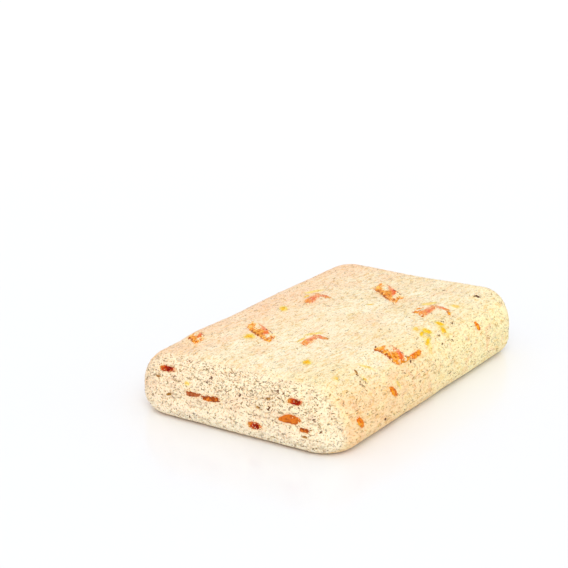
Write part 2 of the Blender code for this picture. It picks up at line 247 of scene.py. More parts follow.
# Clusters that stand out: face, place along and across it, how many slivers, how far they spread,
# their length and width, all in millimetres, and their tone
SEEN_HUSKS = (
    ("top", 39.9, -26.8, 6, 0.5, 1.8, 0.45, 0),
    ("right", -31, 4.9, 5, 0.15, 1, 0.4, 0),
    ("near", 6.1, 16.7, 3, 0.25, 1, 0.22, 0.1),
    ("near", 7.1, 14.9, 3, 0.25, 1, 0.22, 0.1),
    ("near", -3.7, 13.3, 3, 0.25, 0.9, 0.22, 0.1),
    ("near", -1.2, 8.7, 2, 0.25, 0.9, 0.2, 0.2),
    ("near", 13.5, 2.5, 3, 0.25, 1, 0.22, 0),
    ("near", -14.9, 17.8, 3, 0.35, 1, 0.2, 0.2),
    ("near", 11.3, 4.3, 2, 0.25, 0.9, 0.2, 0.1),
    ("near", -27.1, 10.9, 3, 0.25, 1, 0.22, 0.1),
    ("near", -29.2, 7.8, 2, 0.25, 0.9, 0.2, 0.2),
    ("near", 18.4, 7.6, 3, 0.25, 1, 0.24, 0),
    ("near", -13.4, 11.5, 4, 0.5, 1.2, 0.22, 0.3),
    ("near", -17, 17.3, 3, 0.35, 1, 0.2, 0.2),
    ("top", -39.9, -23.6, 3, 0.35, 1, 0.22, 0.3),
    ("top", 37.7, -16.1, 3, 0.45, 1, 0.2, 0.3),
    ("top", 14.3, -28.4, 3, 0.35, 1, 0.24, 0.2),
    ("top", 17.1, -31.1, 3, 0.35, 1, 0.24, 0.2),
    ("top", 7.1, -33, 3, 0.35, 1, 0.24, 0.3),
    ("top", 6, -37.7, 3, 0.35, 1, 0.22, 0.3),
    ("top", 12, -38.5, 3, 0.35, 1, 0.22, 0.3),
    ("top", -12.6, -36.9, 3, 0.3, 1.1, 0.26, 0.2),
    ("top", -3.2, -20, 2, 0.25, 0.9, 0.2, 0.5),
    ("top", 8.7, -18.7, 2, 0.25, 0.9, 0.2, 0.5),
    ("top", -36, -29.3, 3, 0.3, 1, 0.24, 0.2),
    ("top", -36.6, -33.7, 14, 1.6, 0.9, 0.16, 0.4),
    ("top", -17.7, -23.8, 3, 0.35, 0.9, 0.24, 0.4),
)

# Colours, 0 to 255 on screen
CREAM = (246, 228, 193)
PALE = (251, 241, 212)
PEACH = (249, 214, 182)
CUT_CREAM = (254, 234, 201)
TOP_GOLD = (247, 231, 186)
PRESSED = (255, 243, 194)
# The long sides' warm tone: partly their own, partly painted warm bounce light
PRESSED_WARM_BOUNCE = (254, 217, 168)
SIDE_PINK = (250, 204, 160)
SIDE_YELLOW = (254, 236, 180)
# Painted light: a paler tone low on the cut ends, lifting the shade that falls there near the floor
FOOT_PAINTED_LIGHT = (255, 246, 222)
STAIN = (250, 226, 130)
FIBRE_SHADE = (246, 232, 205)
GRAIN_SHADE = (236, 220, 198)
HUSK_SHADE = (98, 72, 0)
# Painted shade in the crevices, cracks and pits
CREVICE_SHADE = (176, 138, 96)
# Painted shade in the seam round each piece of fruit, warm-tinted
SEAM_SHADE = (246, 190, 116)
CRUMBS = (252, 228, 182)
# Those of fruit and husk
ORANGE = (238, 148, 34)
SPECKS = (196, 104, 14)
EDGE = (172, 80, 0)
BLOOM = (252, 224, 176)
PINK = (240, 146, 100)
RED = (234, 104, 40)
MAROON = (136, 44, 10)
YELLOW = (248, 198, 96)
BROWN = (190, 84, 20)
BARK = (160, 80, 6)
STREAK_RED = (234, 140, 98)
HUSK_DARK = (92, 34, 0)
HUSK_BROWN = (128, 82, 22)
HUSK_PALE = (190, 140, 62)
# Patches on a piece, one over another: place along and across it, reach along and across it, colour
CHUNK_PATCHES = (
    (-0.74, -0.42, 0.15, 0.26, YELLOW),
    (-0.62, 0.72, 0.36, 0.36, BLOOM),
    (-0.36, 0.24, 0.24, 0.54, BLOOM),
    (0.56, -0.04, 0.18, 0.44, BLOOM),
    (0.62, 0.74, 0.36, 0.34, BLOOM),
    (-0.2, 0.92, 0.34, 0.3, PINK),
    (0.02, 0.64, 0.26, 0.34, PINK),
    (0.2, 0.46, 0.18, 0.26, RED),
    (0.33, 0.14, 0.13, 0.3, RED),
    (-0.22, 1.02, 0.24, 0.16, MAROON),
    (0.14, 0.78, 0.08, 0.16, MAROON),
    (0.42, 0.86, 0.09, 0.16, MAROON),
    (0.62, 0.78, 0.07, 0.14, MAROON),
    (-0.5, 0.86, 0.08, 0.14, SPECKS),
    (0.84, 0.1, 0.1, 0.2, SPECKS),
    (0.72, -0.56, 0.1, 0.16, SPECKS),
    (0.2, -0.34, 0.12, 0.12, SPECKS),
    (-0.44, -0.9, 0.13, 0.22, BARK),
    (0.06, -0.82, 0.1, 0.16, BARK),
    (-0.18, -0.78, 0.08, 0.14, BARK),
)
STREAK_PATCHES = (
    (-0.78, 0, 0.42, 1, (234, 148, 68)),
    (0.86, 0.1, 0.3, 1, (234, 162, 104)),
    (-0.9, -0.5, 0.16, 0.4, (196, 110, 36)),
    (0, -0.5, 0.3, 0.4, (224, 116, 72)),
    (0.3, 0.5, 0.3, 0.4, (242, 172, 132)),
)
DARK_PATCHES = (
    (0.75, 0, 0.4, 0.9, (204, 140, 56)),
    (0.3, 0, 0.35, 0.9, (204, 84, 22)),
    (-0.95, 0, 0.2, 0.9, (226, 140, 90)),
    (-0.25, 0.05, 0.6, 1.1, (156, 28, 4)),
    (-0.4, 0.1, 0.26, 0.6, (124, 14, 0)),
)
# Fruit with patches: its own tone, its patches, and from how far down its dark edge starts
PATCHED_LOOKS = {
    "chunk": (ORANGE, CHUNK_PATCHES, 0.8),
    "streak": (STREAK_RED, STREAK_PATCHES, 1.1),
    "dark": (BROWN, DARK_PATCHES, 1.1),
}
# The other fruit: the tone of its lower side, upper side and dips, and how fine its noise is, where
# that isn't the usual
FRUIT_LOOKS = {
    "orange": (((240, 160, 36), (230, 124, 24), (200, 84, 10)),),
    "baked": (((226, 128, 46), (160, 72, 18), (120, 48, 4)), 900),
    "amber": (((224, 132, 46), (214, 114, 32), (176, 82, 16)),),
    "dusky": (((200, 118, 68), (172, 88, 46), (124, 50, 14)),),
    "yellow": (((250, 200, 40), (242, 182, 16), (230, 154, 12)), 1300),
    "tan": (((242, 192, 92), (246, 206, 112), (214, 148, 52)), 1300),
    "wisp": (((248, 216, 136), (242, 202, 110), (224, 174, 84)), 1300),
    "brown": (((200, 150, 84), (160, 106, 44), (124, 76, 22)), 1300),
}

FRUIT_GRAIN = 700
FRUIT_GLOSS = 0.4
PATCHED_GLOSS = 0.42
# Tones and marks that change along or across the bar or up it: from and to where and how much
PEACH_FADE = (0, 28 * MM, 0, 0.85)
GOLD_FADE = (-35 * MM, -10 * MM, 0.8, 0)
# Where along the bar the long sides' warm tone, partly painted bounce light, fades out
WARM_BOUNCE_FADE = (-50 * MM, 30 * MM, 1, 0)
# How far up the painted light low on the cut ends reaches, and how strong it is
FOOT_LIGHT_FADE = (1 * MM, 9 * MM, 0.6, 0)
MARKS_RISE = (4 * MM, 16 * MM, -0.015, 0.045)
MARKS_FALL = (17 * MM, 19.5 * MM, 0, -0.06)
TONE_WANDER = 50 * MM  # how far the edges of those tones wander

# Floor and light
FLOOR_REACH = 4
FLOOR_COLOUR = (0.885, 0.9, 0.93, 1)
FLOOR_ROUGHNESS = 0.18
SKY_LOW = 1.12
SKY_HIGH = 0.84
SKY_TURN = 0.4  # the height of the way up to which the sky dims
LAMP_STRENGTH = 1.3
LAMP_SOFTNESS = 0.7
LAMP_SIDE = (-0.6, -0.4, 0.69)

# Camera: its place, the way it looks and its lens, worked out from the block's edges in the photo
CAMERA_PLACE = Vector((-0.3362, -0.2038, 0.1471))
CAMERA_LOOK = Vector((0.79906, 0.52786, -0.28787))
CAMERA_LENS = 88.73
CAMERA_SENSOR = 36
CAMERA_CLIP = (0.01, 20)


# ---- form of the bar


def squared_to_round(a, b):
    """Bends the corner of a square at (a, b) > 0 into a quarter circle, ring by ring."""
    reach = max(a, b)
    away = math.hypot(a, b)
    return a / away * reach, b / away * reach


def rounded(point):
    """Takes a point of the plain box to its place on the bar, with the corners and edges rounded."""
    side_x = 1 if point.x >= 0 else -1
    side_y = 1 if point.y >= 0 else -1
    corner = CORNER_RADIUS[side_x, side_y]
    over_x = abs(point.x) - (LENGTH / 2 - corner)
    over_y = abs(point.y) - (WIDTH / 2 - corner)
    if over_x > 0 and over_y > 0:
        over_x, over_y = squared_to_round(over_x, over_y)
        inward = corner - math.hypot(over_x, over_y)
        out = Vector((side_x * over_x, side_y * over_y)).normalized()
    elif over_x > over_y:
        inward = corner - over_x
        out = Vector((side_x, 0))
    else:
        inward = corner - over_y
        out = Vector((0, side_y))
    x = side_x * (LENGTH / 2 - corner + over_x)
    y = side_y * (WIDTH / 2 - corner + over_y)
    top = HEIGHT + TOP_SLOPE * x
    z = point.z / HEIGHT * top
    top_radius = TOP_EDGE_RADIUS_AT_END[side_x] * out.x**2 + TOP_EDGE_RADIUS_AT_SIDE * out.y**2
    edges = ((top_radius, top - top_radius, 1), (BOTTOM_EDGE_RADIUS, BOTTOM_EDGE_RADIUS, -1))
    for radius, turn_height, up in edges:
        to_side = radius - inward
        to_top = up * (z - turn_height)
        if to_side > 0 and to_top > 0:
            to_side, to_top = squared_to_round(to_side, to_top)
            moved = radius - to_side - inward
            x -= out.x * moved
            y -= out.y * moved
            inward += moved
            z = turn_height + up * to_top
    return Vector((x, y, z))


def on_face(face, along, across):
    """The point of the bar at this place of a face. A place past the face's rim is on the next face."""
    axis, side, along_axis, across_axis = FACES[face]
    point = Vector((0, 0, 0))
    point[along_axis] = along
    point[across_axis] = across
    past = 0
    for other in (along_axis, across_axis):
        kept = min(max(point[other], BOX_LOW[other]), BOX_HIGH[other])
        past += abs(point[other] - kept)
        point[other] = kept
    point[axis] = BOX_HIGH[axis] - past if side > 0 else BOX_LOW[axis] + past
    return rounded(point)


def out_of_face(face, along, across):
    step = 0.2 * MM
    run = on_face(face, along + step, across) - on_face(face, along - step, across)
    rise = on_face(face, along, across + step) - on_face(face, along, across - step)
    out = run.cross(rise).normalized()
    return out if out.dot(on_face(face, along, across) - MIDDLE) > 0 else -out


# ---- noise on arrays of points


def lattice(cells, seed):
    """A random number from 0 to 1 for each row of three whole numbers."""
    x, y, z = (cells.astype(np.uint64) * HASH_PRIMES[:3]).T
    mixed = ((x ^ y ^ z) + np.uint64(seed) * HASH_PRIMES[3]) & HASH_SPAN
    for shift in (15, 13):
        mixed = ((mixed ^ (mixed >> np.uint64(shift))) * HASH_PRIMES[4]) & HASH_SPAN
    return (mixed ^ (mixed >> np.uint64(16))).astype(float) / HASH_SPAN


def ripple(points, size, seed):
    """Smooth noise from about -1 to 1. size, one number or three, is the width of its lumps."""
    scaled = points / np.asarray(size) + NOISE_START
    whole = np.floor(scaled)
    part = scaled - whole
    fade = part * part * part * (part * (part * 6 - 15) + 10)
    total = np.zeros(len(points))
    for corner in itertools.product((0, 1), repeat=3):
        cell = (whole + corner).astype(np.int64)
        weight = np.prod(np.where(corner, fade, 1 - fade), axis=1)
        slope = np.stack([lattice(cell, seed * 3 + axis) * 2 - 1 for axis in range(3)], axis=1)
        total += weight * np.sum(slope * (part - corner), axis=1)
    return total * NOISE_GAIN


def layered(points, size, seed, octaves=3):
    """Noise with finer and finer layers, each half as strong as the one before."""
    size = np.asarray(size, float)
    parts = [ripple(points, size / 2**n, seed + n) / 2**n for n in range(octaves)]
    return sum(parts) / (2 - 2 ** (1 - octaves))


def step_up(values, low, high):
    """0 below low, 1 above high, smooth between."""
    share = np.clip((values - low) / (high - low), 0, 1)
    return share * share * (3 - 2 * share)


def valley(values, low, high):
    """1 where the values are within low of 0, 0 where they are further from it than high."""
    return 1 - step_up(np.abs(values), low, high)


def bell(away, reach):
    """1 at no distance, and hardly anything at twice the reach."""
    return np.exp(-((away / reach) ** 2))


# ---- mesh helpers


def add_object(name, data):
    made = bpy.data.objects.new(name, data)
    bpy.context.scene.collection.objects.link(made)
    return made


def new_piece(name, mesh, material):
    piece = add_object(name, mesh)
    mesh.materials.append(material)
    mesh.shade_smooth()
    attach(piece, "root")
    return piece


def mesh_of(name, points, faces):
    mesh = bpy.data.meshes.new(name)
    mesh.from_pydata([tuple(point) for point in points], [], [tuple(face) for face in faces])
    mesh.update()
    return mesh


def take_mesh(name, shape):
    """Turns a bmesh into a mesh, with its faces turned outwards."""
    bmesh.ops.recalc_face_normals(shape, faces=shape.faces)
    mesh = bpy.data.meshes.new(name)
    shape.to_mesh(mesh)
    shape.free()
    return mesh


def read(rows, key):
    """A vector of each row, all in one array."""
    values = np.zeros(len(rows) * 3, np.float32)
    rows.foreach_get(key, values)
    return values.reshape(-1, 3).astype(float)


def write(mesh, points):
    """Moves the vertices there."""
    mesh.vertices.foreach_set("co", points.astype(np.float32).ravel())
    mesh.update()


def store(mesh, **layers):
    """Keeps numbers for each vertex, for the material to read."""
    for name, values in layers.items():
        layer = mesh.attributes.new(name, "FLOAT", "POINT")
        layer.data.foreach_set("value", values.astype(np.float32))


# ---- the halva


def box_grid():
    """The points and quads of the plain box, all but its underside, and the rim of the underside."""
    ends = [
        np.linspace(low, high, round((high - low) / cell) + 1)
        for low, high, cell in zip(BOX_LOW, BOX_HIGH, CELLS)
    ]
    points = []
    quads = []
    count = 0
    for axis, side, first, second in FACES.values():
        run, rise = np.meshgrid(ends[first], ends[second], indexing="ij")
        patch = np.zeros((*run.shape, 3))
        patch[..., first] = run
        patch[..., second] = rise
        patch[..., axis] = BOX_HIGH[axis] if side > 0 else BOX_LOW[axis]
        index = np.arange(run.size).reshape(run.shape) + count
        quad = np.stack([index[:-1, :-1], index[1:, :-1], index[1:, 1:], index[:-1, 1:]], axis=-1)
        outward = np.cross(np.eye(3)[first], np.eye(3)[second])[axis] * side
        quads.append(quad.reshape(-1, 4)[:, :: 1 if outward > 0 else -1])
        points.append(patch.reshape(-1, 3))
        count += run.size
    points = np.concatenate(points)
    key = np.round(points / WELD).astype(np.int64)
    _, first_seen, shared = np.unique(key, axis=0, return_index=True, return_inverse=True)
    xs, ys, _ = ends
    loop = [(x, ys[0]) for x in xs[:-1]] + [(xs[-1], y) for y in ys[:-1]]
    loop += [(x, ys[-1]) for x in xs[:0:-1]] + [(xs[0], y) for y in ys[:0:-1]]
    return points[first_seen], shared.reshape(-1)[np.concatenate(quads)], np.array(loop)


def grid(low, high, step):
    columns, rows = (np.arange(low[axis], high[axis], step) for axis in range(2))
    return [Vector(point) for point in itertools.product(columns, rows)]


def sole(points, loop, under_boxes):
    """Rings from the rim of the underside in to its flat part, and triangles over the flat part."""
    lookup = {tuple(key): i for i, key in enumerate(np.round(points / WELD).astype(np.int64))}
    ring = [lookup[round(x / WELD), round(y / WELD), 0] for x, y in loop]
    added = []
    faces = []
    count = len(points)
    half = np.array([LENGTH / 2, WIDTH / 2])
    for number in range(1, SOLE_RINGS + 1):
        inner = loop * (1 - number * SOLE_RING_STEP / half)
        added.append(np.column_stack([inner, np.zeros(len(loop))]))
        new = list(range(count, count + len(loop)))
        count += len(loop)
        faces += zip(ring[1:] + ring[:1], ring, new, new[1:] + new[:1])
        ring = new
    flat = [Vector(rounded(Vector(point))).to_2d() for point in added[-1]]
    reach = half - SOLE_RINGS * SOLE_RING_STEP - SOLE_CELL / 2
    inside = grid(-reach, reach, SOLE_CELL)
    for low, high in under_boxes:
        inside += grid(np.array(low) - SOLE_MARGIN, np.array(high) + SOLE_MARGIN, SOLE_FINE_CELL)
    corner = max(CORNER_RADIUS.values())
    inside = [p for p in inside if not (abs(p.x) > half[0] - corner and abs(p.y) > half[1] - corner)]
    outline = list(range(len(flat)))
    places, _, triangles, origins, *_ = geometry.delaunay_2d_cdt(
        flat + inside, [], [outline], 1, WELD / 100
    )
    numbers = []
    extra = []
    for place, origin in zip(places, origins):
        rim = [i for i in origin if i < len(flat)]
        if rim:
            numbers.append(ring[rim[0]])
        else:
            numbers.append(count + len(extra))
            extra.append((place.x, place.y, 0))
    faces += [[numbers[i] for i in reversed(face)] for face in triangles]
    return np.concatenate(added), faces, np.array(extra)


def make_halva_mesh():
    points, quads, loop = box_grid()
    under = [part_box(name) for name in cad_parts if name.startswith("apricot_under")]
    rings, sole_faces, extra = sole(points, loop, under)
    placed = [rounded(Vector(point)) for point in np.concatenate([points, rings])]
    placed += [Vector(point) for point in extra]
    shape = bmesh.new()
    shape.from_mesh(mesh_of("halva", placed, [*quads.tolist(), *sole_faces]))
    return take_mesh("halva", shape)


def apricot_nodes():
    return [(name, node) for name, node in sorted(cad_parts.items()) if name != "halva"]


def piece_levels(points, normals):
    """For each point: how far out the fruit there lies, or nan; how far off the nearest fruit is; and
    the number of the fruit in whose seat it is, or -1."""
    levels = np.full(len(points), np.nan)
    near_rim = np.full(len(points), 1.0)
    owner = np.full(len(points), -1)
    for number, (name, node) in enumerate(apricot_nodes()):
        low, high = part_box(name)
        close = (points > np.array(low) - SEAT_REACH) & (points < np.array(high) + SEAT_REACH)
        tree = BVHTree.FromObject(node, bpy.context.evaluated_depsgraph_get())
        for i in np.nonzero(np.all(close, axis=1))[0]:
            place = Vector(points[i])
            out = Vector(normals[i])
            hit, _, _, away = tree.ray_cast(place + out * SEAT_REACH, -out, 2 * SEAT_REACH)
            if hit:
                levels[i] = SEAT_REACH - away
                owner[i] = number
                near_rim[i] = 0
            else:
                spot, _, _, away = tree.find_nearest(place)
                near_rim[i] = min(near_rim[i], away)
                if away < SEAT_MARGIN:
                    levels[i] = (spot - place).dot(out)
                    owner[i] = number
    return levels, near_rim, owner


def lie_of(face, along, across, length, width, turn, skew=0, taper=0):
    """A piece's middle, the ways along and across it, its half length and width, skew and taper."""
    angle = math.radians(turn)
    ways = []
    for run, rise in ((math.cos(angle), math.sin(angle)), (-math.sin(angle), math.cos(angle))):
        ahead = on_face(face, (along + run / 2) * MM, (across + rise / 2) * MM)
        behind = on_face(face, (along - run / 2) * MM, (across - rise / 2) * MM)
        ways.append((ahead - behind).normalized())
    return on_face(face, along * MM, across * MM), *ways, length * MM / 2, width * MM / 2, skew, taper


def lie_of_box(low, high):
    """The same for a piece that is known by its box alone."""
    size = high - low
    order = sorted(range(3), key=lambda axis: -size[axis])
    ways = [Vector([float(axis == way) for axis in range(3)]) for way in order[:2]]
    return (low + high) / 2, *ways, size[order[0]] / 2, size[order[1]] / 2, 0, 0


def within(lie, points):
    """For each point, how far it is along and across the piece: -1 to 1 from rim to rim."""
    middle, ahead, aside, half_length, half_width, skew, taper = lie
    away = points - np.array(middle)
    across = away @ np.array(aside)
    along = (away @ np.array(ahead) - skew * across) / half_length
    return along, across / (half_width * (1 - taper * np.clip(along, -1, 1)))


def piece_of(name):
    """Where a piece of fruit lies, and its kind."""
    _, face, number = name.split("_")
    if face in PIECES:
        *lie, kind = PIECES[face][int(number) - 1]
        return lie_of(face, *lie), kind
    return lie_of_box(*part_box(name)), HIDDEN_KINDS[face][int(number) - 1]


def rim_share(power, along, across):
    """How far out each place of a piece is: 0 in its middle, 1 on its rim."""
    return (np.abs(along) ** power + np.abs(across) ** power) ** (1 / power)


def smears(points, owner):
    """How far halva covers the fruit, 0 to 1: round its rim, and in the middle of the large chunks."""
    patches = layered(points / MM, 1.1, 131, 3)
    share = np.zeros(len(points))
    for number, (name, _) in enumerate(apricot_nodes()):
        mine = owner == number
        lie, kind = piece_of(name)
        along, across = within(lie, points[mine])
        *_, creep_from, power = SEATS.get(kind, SEATS["else"])
        out = rim_share(power, along, across) + 0.2 * patches[mine]
        share[mine] = step_up(out, creep_from, creep_from + RIM_FADE)
        if kind == "chunk":
            for u, v, reach_u, reach_v in CHUNK_SMEARS:
                spot = 1 - np.hypot((along - u) / reach_u, (across - v) / reach_v)
                share[mine] = np.maximum(share[mine], step_up(spot + 0.5 * patches[mine], 0, 0.3))
    return share


def stains(points):
    """How far the yellow of each bit has soaked into the halva round it."""
    stain = np.zeros(len(points))
    for bit in itertools.chain(*(BITS[kind] for kind in STAINING_KINDS)):
        lie = lie_of(*bit)
        near = np.linalg.norm(points - np.array(lie[0]), axis=1) < STAIN_REACH
        away = np.hypot(*within(lie, points[near]))
        stain[near] = np.maximum(stain[near], 1 - step_up(away, *STAIN_FADE))
    return stain


def shape_halva(mesh):
    """Gives the smooth bar its swell, fibres, flakes, crevices, pits and the seats of its fruit."""
    points = read(mesh.vertices, "co")
    normals = read(mesh.vertex_normals, "vector")
    in_mm = points / MM
    cut = step_up(np.abs(normals[:, 0]), 0.3, 0.6)
    top = step_up(normals[:, 2], 0.55, 0.9) * (1 - cut)
    side = np.clip(1 - cut - top, 0, 1)
    foot = np.clip(points[:, 2] / SMOOTH_FOOT, 0, 1)

    on = {kind: t * top + s * side + c * cut for kind, (t, s, c) in RELIEF.items()}

    move = np.array([noise.noise(Vector(point) / SWELL[1]) for point in points]) * SWELL[0] / MM
    for x, y, depth, reach in SLUMPS:
        away = np.hypot(in_mm[:, 0] - x, in_mm[:, 1] - y)
        move -= depth * np.clip(normals[:, 2], 0, 1) * bell(away, reach)

    # Fibres drawn along the bar
    bent = in_mm + 1.2 * np.stack([ripple(in_mm, 9, seed) for seed in (31, 32, 33)], axis=1)
    move += layered(bent, (7, 1, 1), 1, 3) * on["fibres"]
    # Crumb all over
    move += layered(in_mm, 1.5, 11, 3) * on["crumb"]
    # Flakes in layers on the cut ends, with crevices between them
    level = in_mm + np.outer(1.1 * ripple(in_mm, (6, 6, 5), 41), (0, 0, 1))
    move += layered(level, (3, 4.2, 1.5), 51, 3) * on["flakes"]
    crevice = valley(layered(level, (2.2, 3.6, 1), 71, 2), 0.02, 0.11)
    crevice *= step_up(layered(in_mm, (6, 8, 4), 61, 2), -0.35, 0.15) * on["crevices"]
    # Finer crevices, and cracks along the fibres
    fine = valley(layered(level, (1.3, 1.8, 0.8), 81, 2), 0.02, 0.12)
    fine *= step_up(layered(in_mm, 3.5, 91, 2), -0.2, 0.1) * on["fine"]
    crack = valley(layered(bent, (5, 1.3, 1.3), 95, 2), 0.01, 0.06)
    crack *= step_up(layered(in_mm, 6, 96, 2), 0, 0.3) * on["cracks"]
    move -= (CREVICE_DEPTH * crevice + FINE_DEPTH * fine + CRACK_DEPTH * crack) * foot
    # Pits where crumbs have come away
    pits = step_up(ripple(in_mm, 1.6, 101), 0.4, 0.7) * on["pits"]
    move -= pits

    levels, near_rim, owner = piece_levels(points, normals)
    seated = ~np.isnan(levels)
    hidden = (levels - SEAT_DEPTH) / MM
    shown = levels / MM + SMEAR_HEIGHT + SMEAR_LUMPS * layered(in_mm, 0.8, 111, 2)
    calm = CALM_SHARE * np.where(seated, 0, bell(near_rim, CALM_REACH))
    move = move * foot * (1 - calm)
    move[seated] = (hidden + (shown - hidden) * smears(points, owner))[seated]
    points = points + normals * (move * MM)[:, None]
    points[:, 2] = np.maximum(points[:, 2], 0)
    write(mesh, points)

    # How deep each place lies in a crevice, crack or pit, for the shade painted there
    deep = np.clip(np.maximum(np.maximum(crevice, fine), crack) + pits * 1.5, 0, 1)
    # Where shade is painted in the seam round each seat of fruit
    seam = np.where(seated, 0, bell(near_rim, SEAM_REACH))
    store(mesh, cut=cut, side=side, deep=deep, seam=seam, stain=stains(points))


# ---- fruit


def soft_copy(name, node):
    """The mesh of a solid, divided finely and smoothed."""
    shape = bmesh.new()
    shape.from_mesh(node.data)
    bmesh.ops.remove_doubles(shape, verts=shape.verts, dist=2 * WELD)
    cage = add_object(name, take_mesh(name, shape))
    for number, kind in enumerate(("SIMPLE", "CATMULL_CLARK", "CATMULL_CLARK")):
        division = cage.modifiers.new(f"division_{number}", "SUBSURF")
        division.subdivision_type = kind
        division.levels = 1
    bpy.context.view_layer.update()
    fine = bpy.data.meshes.new_from_object(cage.evaluated_get(bpy.context.evaluated_depsgraph_get()))
    bpy.data.objects.remove(cage, do_unlink=True)
    return fine


def make_apricot(name, node, materials):
    """A soft, wrinkled piece of fruit in the form of its solid."""
    mesh = soft_copy(name + "_fruit", node)
    points = read(mesh.vertices, "co")
    in_mm = points / MM
    wrinkles = layered(in_mm, 1.4, 201, 2) * 0.12 - np.abs(ripple(in_mm, (1.2, 1.2, 0.9), 205)) * 0.12
    wrinkles += layered(in_mm, 0.6, 207, 2) * 0.15
    lie, kind = piece_of(name)
    normals = read(mesh.vertex_normals, "vector")
    upright = np.abs(normals @ np.array(lie[1].cross(lie[2])))
    rise, spread, _, power = SEATS.get(kind, SEATS["else"])
    swell = (spread + (rise - spread) * upright) / MM
    write(mesh, points + normals * ((swell + wrinkles) * MM)[:, None])
    along, across = within(lie, points)
    rim = rim_share(power, along, across)
    store(mesh, dip=np.clip(0.5 - wrinkles * 4, 0, 1), along=along, across=across, rim=rim)
    mesh.materials.clear()
    piece = new_piece(name + "_fruit", mesh, materials[kind])
    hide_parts(name)


def add_bit(shape, tree, bit):
    """Adds a small uneven lump of fruit, sunk in the halva's surface (the tree), to the bmesh."""
    face, along, across, length, width, turn = bit
    along_layer, across_layer, rim_layer = (shape.verts.layers.float[key] for key in BIT_LAYERS)
    made = bmesh.ops.create_icosphere(shape, subdivisions=BIT_DETAIL, radius=1.0)["verts"]
    turned = math.radians(turn)
    cosine, sine = math.cos(turned), math.sin(turned)
    own_place = Vector((along, across, length))
    for vert in made:
        unit = vert.co.normalized()
        vert[along_layer] = unit.x
        vert[across_layer] = unit.y
        vert[rim_layer] = math.hypot(unit.x, unit.y)
        swell = BIT_SWELL
        swell += sum(share * noise.noise(unit * size + own_place) for share, size in BIT_WAVES)
        run = unit.x * length * MM / 2 * swell
        rise = unit.y * width * MM / 2 * swell
        place = (along * MM + cosine * run - sine * rise, across * MM + sine * run + cosine * rise)
        surface = on_face(face, *place)
        out = out_of_face(face, *place)
        hit = tree.ray_cast(surface + out * SEAT_REACH, -out, 2 * SEAT_REACH)[0]
        height = unit.z * (BIT_DOME if unit.z > 0 else BIT_DEPTH)
        height += BIT_RAGGED * noise.noise(surface / (0.6 * MM))
        vert.co = (hit or surface) + out * height


def make_bits(kind, tree, material):
    shape = bmesh.new()
    for key in BIT_LAYERS:
        shape.verts.layers.float.new(key)
    for bit in BITS[kind]:
        add_bit(shape, tree, bit)
    name = f"apricot_bits_{kind}"
    mesh = take_mesh(name, shape)
    store(mesh, dip=np.clip(0.5 + layered(read(mesh.vertices, "co") / MM, 1, 211, 2), 0, 1))
    new_piece(name, mesh, material)


# ---- husk


def husk_weight(face, cut):
    """How likely a face of the halva is to have a fleck on it: more on the cut ends, in drifts."""
    middle = face.center
    drift = 0.7 + sum(share * noise.noise(middle / size) for share, size in HUSK_DRIFT)
    side = max(0, 1 - abs(face.normal.z) - cut)
    above = (middle.z - HUSK_BAND[0]) / HUSK_BAND_FADE[0]
    below = (HUSK_BAND[1] - middle.z) / HUSK_BAND_FADE[1]
    band = cut * max(0, min(1, above, below))
    crowd = sum(share * where for share, where in zip(HUSK_CROWD, (cut, band, side, 1)))
    return face.area * crowd * max(0, drift)


def add_sliver(shape, tones, place, out, way, long, wide, bend, tone):
    """Adds a thin curved spindle that lies in the surface, and notes its tone for each point."""
    aside = out.cross(way).normalized()
    way = aside.cross(out).normalized()
    rings = []
    for share in (-0.4, 0.4):
        middle = place + way * long * share / 2 + aside * bend
        rings.append([
            shape.verts.new(middle + aside * side * wide / 2 + out * height)
            for side, height in ((-1, 0), (0, SLIVER_CROWN), (1, 0), (0, -SLIVER_ROOT))
        ])
    tips = [shape.verts.new(place + way * long * share / 2 - aside * bend) for share in (-1, 1)]
    for i in range(4):
        j = (i + 1) % 4
        shape.faces.new((rings[0][i], rings[1][i], rings[1][j], rings[0][j]))
        shape.faces.new((tips[0], rings[0][i], rings[0][j]))
        shape.faces.new((tips[1], rings[1][j], rings[1][i]))
    tones += [tone] * SLIVER_POINTS


def make_husks(halva, material):
    """Slivers of dark seed husk lying in the surface, thickest on the cut ends."""
    draw = random.Random(SEED)
    mesh = halva.data
    cut = np.zeros(len(mesh.vertices), np.float32)
    mesh.attributes["cut"].data.foreach_get("value", cut)
    faces = [face for face in mesh.polygons if face.center.z > HUSK_LOWEST and len(face.vertices) == 4]
    weights = [husk_weight(face, float(cut[face.vertices[0]])) for face in faces]
    shape = bmesh.new()
    tones = []
    for face in draw.choices(faces, weights=weights, k=HUSK_COUNT):
        on_end = cut[face.vertices[0]] > 0.5
        way = Vector((0, 1, 0)) if on_end else Vector((1, 0, 0))
        turn = draw.gauss(0, HUSK_TURN["end" if on_end else "else"])
        way.rotate(Quaternion(face.normal, math.radians(turn)))
        long = draw.choice(SLIVER_LENGTHS) * MM * draw.uniform(0.8, 1.2)
        wide = draw.uniform(*SLIVER_WIDTHS)
        bend = draw.uniform(-SLIVER_BEND, SLIVER_BEND) * long
        tone = draw.uniform(0 if on_end else 0.4, 1)
        add_sliver(shape, tones, face.center, face.normal, way, long, wide, bend, tone)
    for face, along, across, count, spread, long, wide, tone in SEEN_HUSKS:
        for _ in range(count):
            place = [(value + draw.uniform(-spread, spread)) * MM for value in (along, across)]
            _, middle, out, _ = halva.closest_point_on_mesh(on_face(face, *place))
            way = Vector([draw.uniform(-1, 1) for _ in range(3)])
            middle += out * SLIVER_ROOT / 2
            add_sliver(shape, tones, middle, out, way, long * MM, wide * MM, 0, tone)
    made = take_mesh("husk_slivers", shape)
    store(made, tone=np.array(tones))
    new_piece("husk_slivers", made, material)


# ---- materials


